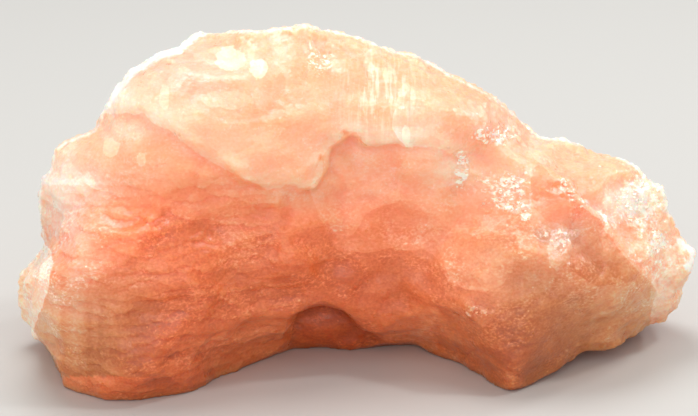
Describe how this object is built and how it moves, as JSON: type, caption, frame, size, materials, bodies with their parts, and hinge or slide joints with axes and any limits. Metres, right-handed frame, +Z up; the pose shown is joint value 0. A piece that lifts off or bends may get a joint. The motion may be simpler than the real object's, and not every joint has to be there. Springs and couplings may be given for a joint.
{
  "type": "manganoan calcite specimen",
  "caption": "Broken piece of massive pink calcite with a domed, ledged front and a shallow hollow below, standing on its flat underside.",
  "frame": {"origin": "middle of the piece's box, on the flat underside that it stands on", "axes": "+Z up, +X along the length of the piece, -Y towards the display side"},
  "size_m": [0.121, 0.057, 0.0592],
  "materials": {
    "calcite": "waxy, translucent"
  },
  "bodies": {
    "root": {"calcite": "calcite"}
  },
  "joints": []
}
